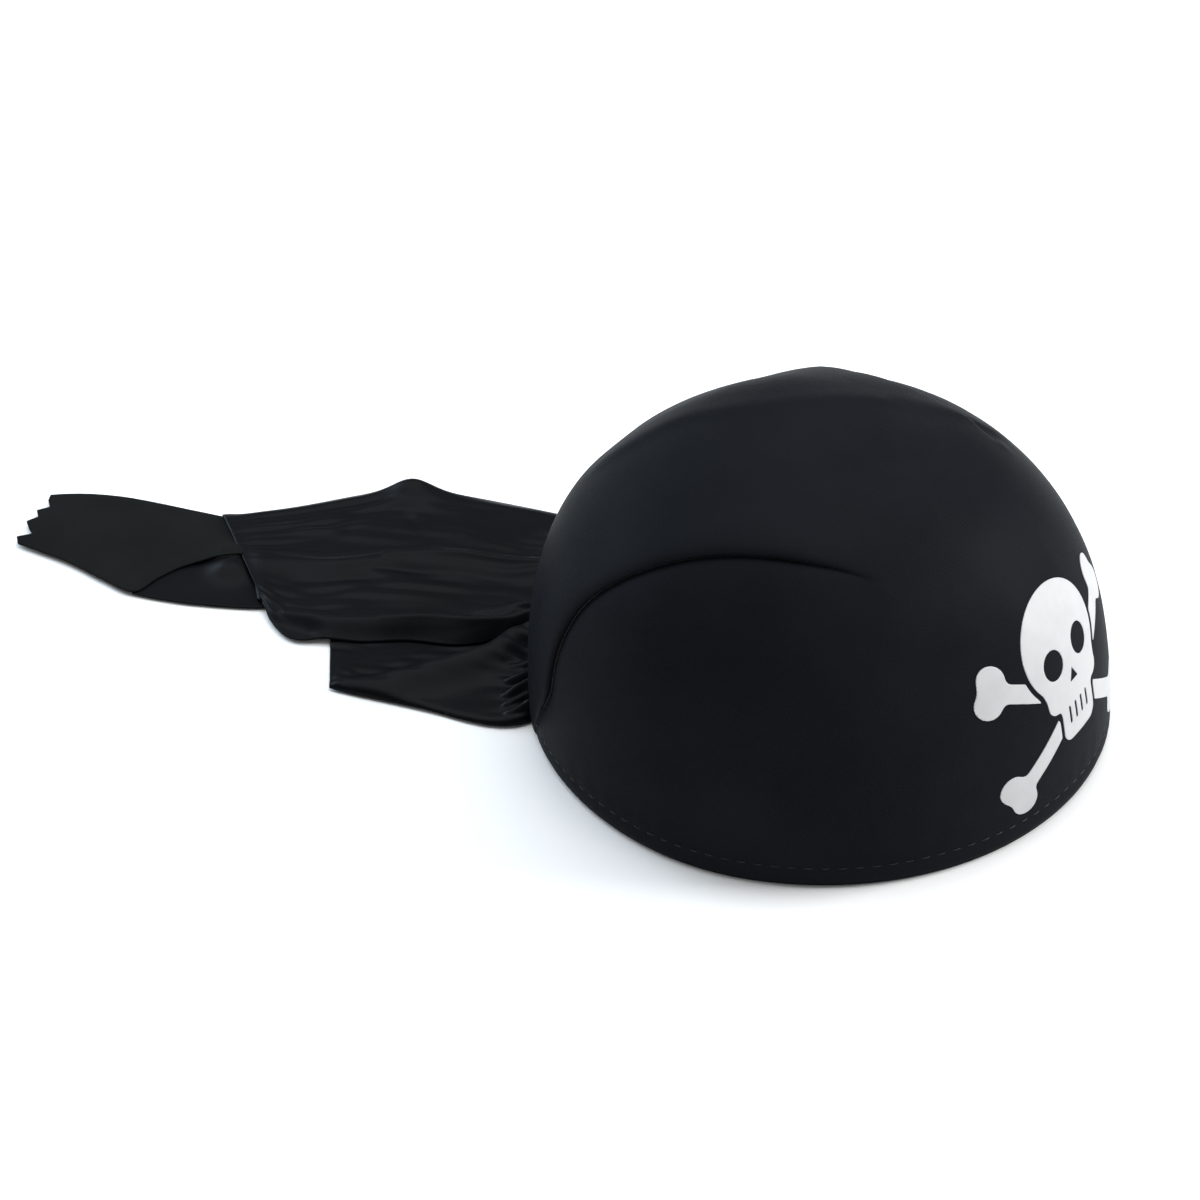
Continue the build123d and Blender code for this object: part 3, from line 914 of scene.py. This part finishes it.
def skull_field(places):
    """Skull with round eyes, a three-cornered nose and straight slits between the teeth."""
    field = skull_blank(places)
    for side in (-1, 1):
        eye = np.linalg.norm(places - (side * EYE_SPREAD, EYE_LEVEL), axis=-1) - EYE_RADIUS
        field = np.maximum(field, -eye)
    rise = places[..., 1] - NOSE_FOOT
    flank = (np.abs(places[..., 0]) / NOSE_HALF_WIDTH + rise / NOSE_RISE - 1) * NOSE_HALF_WIDTH
    field = np.maximum(field, -np.maximum(-rise, flank))
    for across in TOOTH_SLITS:
        foot, top = (np.array([across, end]) for end in TOOTH_ENDS)
        field = np.maximum(field, TOOTH_SLIT_WIDTH / 2 - segment_distance(places, foot, top))
    return field


def bone_field(corner):
    """Field of one end of a straight crossed bone, kept clear of the skull."""
    crossing = np.array([0.0, BONE_CROSSING])
    tip = np.array(BONE_TIPS[corner])
    along = (tip - crossing) / np.linalg.norm(tip - crossing)
    sideways = KNOB_RADIUS * KNOB_SPREAD * np.array([-along[1], along[0]])

    def field(places):
        bone = segment_distance(places, crossing, tip) - BONE_WIDTH / 2
        for knob in (tip + sideways, tip - sideways):
            bone = merged(bone, np.linalg.norm(places - knob, axis=-1) - KNOB_RADIUS)
        return np.maximum(bone, PRINT_GAP - skull_blank(places))

    return field


def make_print():
    """Generic skull and crossbones, as five islands of film."""
    film_mesh("skull_film", "skull_print", skull_field, (-26, 26), (26, 89))
    reach = KNOB_RADIUS * (1 + KNOB_SPREAD) + 1
    for corner, tip in BONE_TIPS.items():
        ends = np.array([(0.0, BONE_CROSSING), tip])
        low = ends.min(0) - reach
        high = ends.max(0) + reach
        film_mesh(f"bone_film_{corner}", f"bone_print_{corner}", bone_field(corner), low, high)


# ---------------------------------------------------------------- tail

CLOTH = 0.6
SEAM_DIP = 0.2

# Ridges of each layer: plan points with the height that the cloth stands up there, from the cap
# outwards, then the width of the near side and of the far side.
FLAP_RIDGES = [
    ([
        (-104, 29, 4), (-119, 28, 4), (-131, 25, 4.2), (-148, 22, 3.8), (-168, 17, 3.8),
        (-188, 7, 3.4), (-205, -5, 3.0), (-218, -9, 2), (-243, -14, 0.6)
    ], 6.5, 4.0),
    ([(-104, 5, 3.4), (-119, 1, 2.6), (-131, -4, 1.6), (-143, -8, 0.3)], 3.5, 3.0),
    ([
        (-104, -1, 4.5), (-117, -6, 4.6), (-132, -15, 4.8), (-153, -21, 4.6), (-169, -29, 3.8),
        (-184, -34, 2.6), (-203, -37, 1.0)
    ], 7.5, 3.0),
    ([(-150, 36, 0.3), (-170, 34, 0.6), (-188, 28, 0.7), (-208, 22, 0.6), (-226, 18, 0.2)], 3.5, 3.5),
    ([(-176, 24, 0.2), (-200, 17, 0.6), (-226, 10, 0.7), (-250, -1, 0.2)], 3.0, 3.0),
    ([(-110, 44, 1.0), (-132, 45, 0.8), (-152, 44, 0.2)], 4.0, 4.0),
    ([(-193, 34, -0.6), (-186, 27, -0.3)], 2.0, 3.0),
    ([
        (-108, 29, 0.5), (-131, 25.5, 0.5), (-148, 22.5, 0.5), (-168, 17.5, 0.5), (-188, 7.5, 0.4)
    ], 1.3, 1.6),
    ([(-106, 4.5, 0.6), (-119, 1.5, 0.6), (-131, -3.5, 0.4)], 1.2, 1.5),
    ([
        (-106, -1.5, 0.5), (-117, -5.5, 0.6), (-132, -14.5, 0.6), (-153, -20.5, 0.6),
        (-169, -28, 0.5)
    ], 1.3, 1.6),
]
FLAP_NEAR = [
    (-103, -8), (-118, -11), (-137, -25), (-156, -31), (-171, -39), (-185, -43), (-197, -48),
    (-207, -44.5), (-217, -36),
]
FLAP_FAR = [
    (-92, 62.5), (-115, 65), (-140, 64.8), (-160, 63), (-183, 59.8), (-205, 55), (-221, 42.5),
    (-242, 22.3), (-262, 6.3),
]

LOWER_RIDGES = [
    ([
        (-106, 0, 7), (-119, -14, 7.2), (-123, -26, 6.8), (-133, -38, 6.0), (-145, -51, 4.4),
        (-157, -60, 2.4), (-167, -65, 0.8)
    ], 9.0, 3.6),
    ([(-90, -46, 6), (-95, -50, 4), (-100, -54, 1.5)], 1.1, 1.5),
    ([(-94, -42, 6), (-99, -45, 3.6), (-103, -50, 1.4)], 1.1, 1.5),
    ([(-97, -37, 6), (-102, -40, 3.6), (-106, -45, 1.0)], 1.1, 1.5),
    ([(-99, -31, 6), (-104, -34, 3.6), (-109, -37, 1.2)], 1.1, 1.5),
    ([(-101, -25, 6), (-106, -27, 3.6), (-112, -30, 1.0)], 1.1, 1.6),
]
ROOT_NEAR = [(-86, -51), (-94, -56.8), (-104, -60.3), (-113, -61.8), (-122.5, -62.3)]
SHORT_NEAR = [(-117, -62), (-131, -62.8), (-146, -64.4), (-158, -65.9), (-169.5, -67.0)]


def ridge_height(places, ridges):
    """Height that rounded ridges add in plan; each is steeper on its near side (towards -Y)."""
    total = np.zeros(places.shape[:-1])
    for points, near_width, far_width in ridges:
        line = smooth_path(points, 6 * len(points))
        best = np.full(places.shape[:-1], np.inf)
        height = np.zeros(places.shape[:-1])
        side = np.zeros(places.shape[:-1])
        for start, end in zip(line[:-1], line[1:]):
            run = end[:2] - start[:2]
            offset = places - start[:2]
            share = np.clip((offset @ run) / (run @ run), 0, 1)
            distance = np.linalg.norm(offset - share[..., None] * run, axis=-1)
            closer = distance < best
            best = np.where(closer, distance, best)
            height = np.where(closer, start[2] + share * (end[2] - start[2]), height)
            side = np.where(closer, run[0] * offset[..., 1] - run[1] * offset[..., 0], side)
        total += height * bump(best, np.where(side > 0, near_width, far_width))
    return total


def pleats(places, pitch, depth, reach):
    """Small gathers that fan out from the seam at the back of the cap."""
    angle = np.arctan2(places[..., 1], -places[..., 0])
    wander = 2.2 * np.sin(angle * 9 + 0.6) + 1.1 * np.sin(angle * 23)
    wall = HALF_LENGTH * np.sqrt(np.maximum(1 - (places[..., 1] / HALF_WIDTH) ** 2, 0.05))
    out = -places[..., 0] - wall
    fade = np.exp(-np.maximum(out, 0) / reach)
    return depth * (0.5 + 0.5 * np.sin(2 * math.pi * angle * HALF_LENGTH / pitch + wander)) * fade


def sheet_grid(near, far, rows, columns):
    """Plan points between two edges, and the share of the way along and across."""
    near_line = smooth_path(near, rows)
    far_line = smooth_path(far, rows)
    along = np.linspace(0, 1, rows)[:, None]
    across = np.linspace(0, 1, columns)[None, :]
    plan = near_line[:, None, :] * (1 - across[..., None]) + far_line[:, None, :] * across[..., None]
    return plan, along + 0 * across, across + 0 * along


def edge_fall(share, reach):
    """0 at an edge, 1 a little way in, by the share of the way across."""
    return np.sqrt(np.clip(share / reach, 0, 1) * (2 - np.clip(share / reach, 0, 1)))


def edge_slope(share, reach):
    """Like edge_fall, but the cloth comes down to its edge at a slant."""
    inward = np.clip(share / reach, 0, 1)
    return inward * (2 - inward)


def unevenness(plan, size, height, seed):
    """Gentle lumps of loose cloth."""
    x, y = plan[..., 0], plan[..., 1]
    lumps = np.sin(x / size + 1.3 * np.sin(y / size / 1.7 + seed)) * np.sin(y / size / 0.8 + seed * 2.1)
    return height * (0.5 + 0.5 * lumps)


def fine_wrinkles(along, across, count, height):
    """Shallow wrinkles that run along a sheet, wander a little and come and go."""
    wander = 0.35 * np.sin(5.3 * along + 1.1) + 0.16 * np.sin(13.7 * along + 4 * across)
    wave = np.sin(2 * math.pi * (count * across + wander))
    wave = wave + 0.6 * np.sin(2 * math.pi * (1.7 * count * across - wander))
    come_and_go = 0.5 + 0.5 * np.sin(7.1 * along + 9.3 * across + 0.8)
    return height * wave * come_and_go


def to_grid(plan, height):
    """Plan points with their heights."""
    return np.concatenate([plan, height[..., None]], -1)


def make_flap():
    """Wide upper layer of the tail, cut off on the diagonal."""
    plan, along, across = sheet_grid(FLAP_NEAR, FLAP_FAR, 190, 130)
    x = plan[..., 0]
    base = 4.0 + 4.5 * smooth_step(x, -150, -104)
    height = base + ridge_height(plan, FLAP_RIDGES) + pleats(plan, 7.5, 2.0, 14)
    height += 5.6 * bump(np.hypot(x + 202, plan[..., 1] - 51), 9.5)
    height += 1.6 * bump(np.hypot((x + 176) / 1.5, plan[..., 1] + 6), 8)
    height += unevenness(plan, 13, 0.7, 0.4) + fine_wrinkles(along, across, 9, 0.30)
    far_floor = 0.9
    near_floor = np.minimum(lower_height(plan), 3.2) + CLOTH + 0.1
    down = edge_slope(1 - across, 0.07)
    height = far_floor + (height - far_floor) * down
    down = edge_slope(across, 0.13)
    height = near_floor + (height - near_floor) * down
    end = smooth_step(along, 1.0, 0.93)
    height = 3.6 + (height - 3.6) * (0.25 + 0.75 * end)
    tip = smooth_step(x, -186, -194) * smooth_step(plan[..., 1], -36, -44)
    height = height - tip * (height - 1.2) * 0.75
    flap = cloth_sheet("upper_tail", to_grid(plan, height), CLOTH, [satin])
    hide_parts("tail_flap")
    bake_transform(flap)


def lower_height(plan):
    """Height of the layer below, which the heading and the short tie share."""
    x = plan[..., 0]
    base = 1.5 + 0.8 * smooth_step(x, -130, -100)
    height = base + ridge_height(plan, LOWER_RIDGES) + unevenness(plan, 11, 0.6, 1.7)
    height += pleats(plan, 5.5, 2.6, 7)
    under_flap = smooth_step(plan[..., 1] + 0.62 * (x + 104), -2, 8)
    return height * (1 - under_flap) + np.minimum(height, 2.3) * under_flap


def make_gather():
    """Heading of the tail: the root of its layers, bunched and sewn to the back of the cap."""
    far = [(-98, 58), (-103, 58.5), (-109, 58.5), (-116, 58.5), (-122.5, 58)]
    plan, along, across = sheet_grid(ROOT_NEAR, far, 40, 200)
    wall = HALF_LENGTH * np.sqrt(np.maximum(1 - (plan[..., 1] / HALF_WIDTH) ** 2, 0.05))
    start = -(wall - 2.0)
    plan[..., 0] = start * (1 - along) + plan[-1:, :, 0] * along
    height = lower_height(plan)
    height = 0.9 + (height - 0.9) * edge_fall(across, 0.03) * edge_fall(1 - across, 0.03)
    height = height - SEAM_DIP * np.clip((-112 - plan[..., 0]) / 10, 0, 1)
    gather = cloth_sheet("tail_heading", to_grid(plan, height), CLOTH, [satin])
    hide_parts("tail_gather")
    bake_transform(gather)


def make_short_tie():
    """Short tie below the flap, with its square-cut end."""
    far = [(-117, -4), (-138, -13), (-156, -20), (-174, -26), (-191.5, -30)]
    plan, along, across = sheet_grid(SHORT_NEAR, far, 90, 70)
    height = lower_height(plan)
    height = 0.8 + (height - 0.8) * edge_fall(across, 0.06) * (0.35 + 0.65 * smooth_step(along, 1.0, 0.9))
    height = height + fine_wrinkles(along, across, 5, 0.22) * smooth_step(along, 0.1, 0.3)
    height = height - SEAM_DIP * np.clip((plan[..., 0] + 127) / 10, 0, 1)
    tie = cloth_sheet("short_tie_cloth", to_grid(plan, height), CLOTH, [satin])
    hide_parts("short_tie")
    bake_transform(tie)


def make_long_tie():
    """Long tie where the flap hides it."""
    near = [(-119, -4), (-150, -14), (-185, -24), (-222, -33)]
    far = [(-119, 52), (-160, 46), (-210, 30), (-250, 4)]
    plan = sheet_grid(near, far, 70, 40)[0]
    height = 1.3 + unevenness(plan, 12, 0.5, 2.2)
    tie = cloth_sheet("long_tie_under", to_grid(plan, height), CLOTH, [satin])
    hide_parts("long_tie")
    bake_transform(tie)


STRIP_FAR = [
    (-246, 9), (-262, 7), (-272, 6), (-281, 5), (-291, 3.8), (-304, 1.6), (-316, -2), (-325, -6),
    (-331, -9.5),
]
STRIP_NEAR = [
    (-233, -6), (-243, -15), (-252, -20.5), (-259.5, -28), (-264, -38), (-268, -49.2),
    (-284, -47.2), (-302, -43.6), (-325, -42),
]
TATTERS = [
    (-325, -42), (-327.5, -39), (-323, -35), (-326, -32.5), (-329.5, -29), (-327, -24.5),
    (-330, -21), (-326.5, -17), (-329.5, -13.5), (-331, -9.5),
]
SATIN_NEAR = [(-208, -29), (-222, -37.5), (-243, -44.8), (-258, -48.2), (-268, -49.6)]
SATIN_FAR = [(-228, 0), (-243, -9), (-256, -17), (-266, -27), (-272, -44)]


def strip_blend(piece):
    """Bakes the piece's transform into its mesh points."""
    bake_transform(piece)


def make_tie_end():
    """Free end of the long tie, wrong side up, with its tattered edge and the satin side turned up."""
    plan, along, across = sheet_grid(STRIP_NEAR, STRIP_FAR, 150, 80)
    torn = np.array(TATTERS)
    length = np.concatenate([[0], np.cumsum(np.linalg.norm(np.diff(torn, axis=0), axis=-1))])
    place = across[0] * length[-1]
    edge = np.stack([np.interp(place, length, torn[:, k]) for k in (0, 1)], -1)
    pull = smooth_step(along, 0.93, 1.0)[..., None]
    plan = plan + pull * (edge[None] - plan[-1:])
    height = 1.6 + unevenness(plan, 14, 1.0, 3.1) * edge_fall(across, 0.3)
    height += 3.0 * bump(np.hypot(plan[..., 0] + 244, plan[..., 1] + 16), 11)
    height = 0.8 + (height - 0.8) * (0.4 + 0.6 * edge_fall(1 - across, 0.08))
    matte_end = cloth_sheet("long_tie_end_cloth", to_grid(plan, height), CLOTH, [wrong_side])
    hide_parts("long_tie_end")
    strip_blend(matte_end)
    plan, along, _ = sheet_grid(SATIN_NEAR, SATIN_FAR, 70, 50)
    height = 0.7 + 0.3 * along + 3.8 * bump(np.hypot(plan[..., 0] + 242, plan[..., 1] + 20), 7.5)
    turned = cloth_sheet("long_tie_end_turn", to_grid(plan, height), CLOTH, [satin])
    strip_blend(turned)


def seam_stitches():
    """Seam that sews the heading to the back of the cap."""
    low, high = box_mm("tail_seam_stitching")
    count = 15
    across = np.linspace(low[1] + 2, high[1] - 2, count)
    back = -HALF_LENGTH * np.sqrt(1 - (across / HALF_WIDTH) ** 2)
    plan = np.stack([back - 2.0, across], -1)
    centres = to_grid(plan, lower_height(plan))
    directions = np.tile((0.0, 1.0, 0.0), (count, 1))
    normals = np.tile((0.0, 0.0, 1.0), (count, 1))
    thread_stitches("seam_thread", centres, directions, normals, SEAM_STITCH_LENGTH, "tail_seam_stitching")


def make_shirring():
    """Elastic cord sewn under the heading, which draws the tail in."""
    low, high = box_mm("shirring_elastic")
    steps = 90
    sides = 10
    across = np.linspace(low[1], high[1], steps)
    plan = np.stack([np.full(steps, (low[0] + high[0]) / 2), across], -1)
    radius = (high[0] - low[0]) / 2
    centres = to_grid(plan, lower_height(plan) - CLOTH - radius)
    turn = np.arange(sides) * 2 * math.pi / sides
    ring = np.stack([np.cos(turn), 0 * turn, -np.sin(turn)], -1)
    points = centres[:, None] + radius * ring[None]
    cord = new_object("shirring_cord", points.reshape(-1, 3), tube_faces(steps, sides), [elastic])
    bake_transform(cord)
    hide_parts("shirring_elastic")


def paint_cad_nodes():
    """Material of the CAD node that stays as it is."""
    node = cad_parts["nape_elastic"]
    node.data.materials.clear()
    node.data.materials.append(elastic)


knit = knit_material()
satin = satin_material("tail_satin", (0.0012, 0.0014, 0.0020), (0.0026, 0.0029, 0.0041), 0.39)
wrong_side = satin_material("tail_wrong_side", (0.0037, 0.0043, 0.0042), (0.0069, 0.0076, 0.0073), 0.80)
white_film = print_material()
thread = thread_material()
foam = soft_material("foam", (0.012, 0.012, 0.013), (0.030, 0.030, 0.032), 0.85, 1500.0, 0.0003, 0.1)
lining_cloth = soft_material(
    "lining", (0.012, 0.012, 0.014), (0.024, 0.024, 0.027), 0.7, 2200.0, 0.00015, 0.4
)
band_tape = band_material("band", (0.010, 0.010, 0.012), (0.026, 0.026, 0.029), 0.0012)
elastic = band_material("elastic", (0.012, 0.012, 0.013), (0.026, 0.026, 0.028), 0.0016)
label_cloth = band_material("label", (0.70, 0.70, 0.68), (0.82, 0.82, 0.80), 0.0006)

make_camera()
make_studio()
make_cover()
make_foam()
make_hem()
make_lining()
make_sweatband()
row_of_stitches("hem_thread", "hem_topstitching", HEM_LINE, 0.0, 1)
row_of_stitches("band_thread", "sweatband_stitching", BAND_STITCH_HEIGHT, BAND_STITCH_DEPTH, -1)
make_print()
make_gather()
make_short_tie()
make_long_tie()
make_flap()
make_tie_end()
seam_stitches()
make_label()
make_shirring()
paint_cad_nodes()
